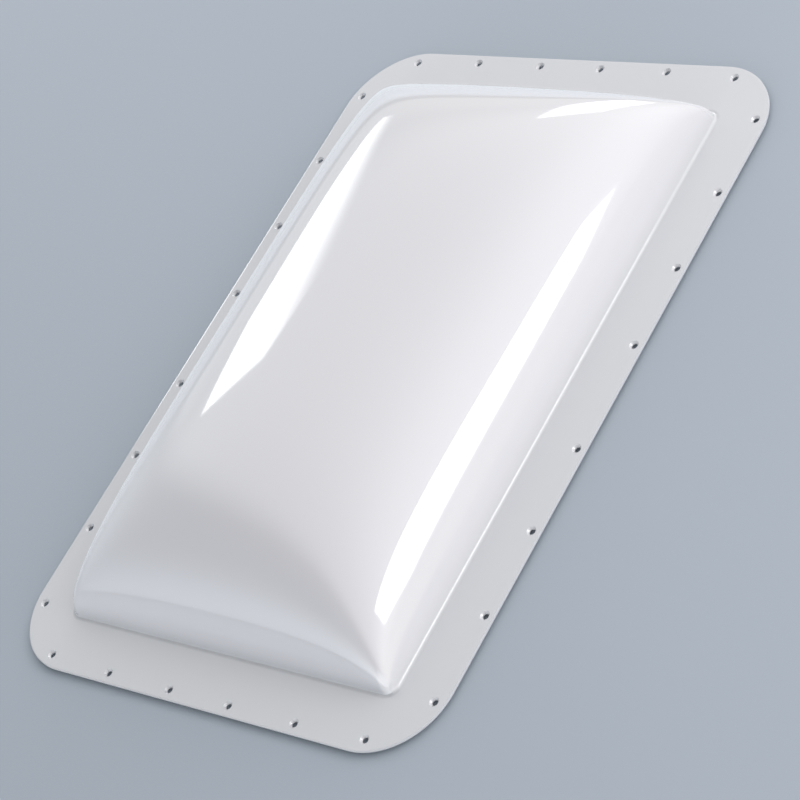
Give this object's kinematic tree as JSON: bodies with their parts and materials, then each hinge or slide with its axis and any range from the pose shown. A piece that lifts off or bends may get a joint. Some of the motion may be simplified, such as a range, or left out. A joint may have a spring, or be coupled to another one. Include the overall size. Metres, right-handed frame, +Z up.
{
  "type": "rv skylight",
  "caption": "Fixed roof skylight dome for a caravan: one opal white pillow-shaped plastic sheet with a flat screw flange, on strips of foam sealing tape.",
  "frame": {"origin": "middle of the underside of the sealing strips, on the roof", "axes": "+Z up out of the roof, +Y along the skylight's long side, +X across it"},
  "size_m": [0.4444, 0.6478, 0.0956],
  "materials": {
    "opal_plastic": "glossy",
    "sealing_foam": "matte closed-cell foam"
  },
  "bodies": {
    "root": {"outer_dome": "opal_plastic", "seal_strip_front": "sealing_foam", "seal_strip_back": "sealing_foam", "seal_strip_left": "sealing_foam", "seal_strip_right": "sealing_foam"}
  },
  "joints": []
}
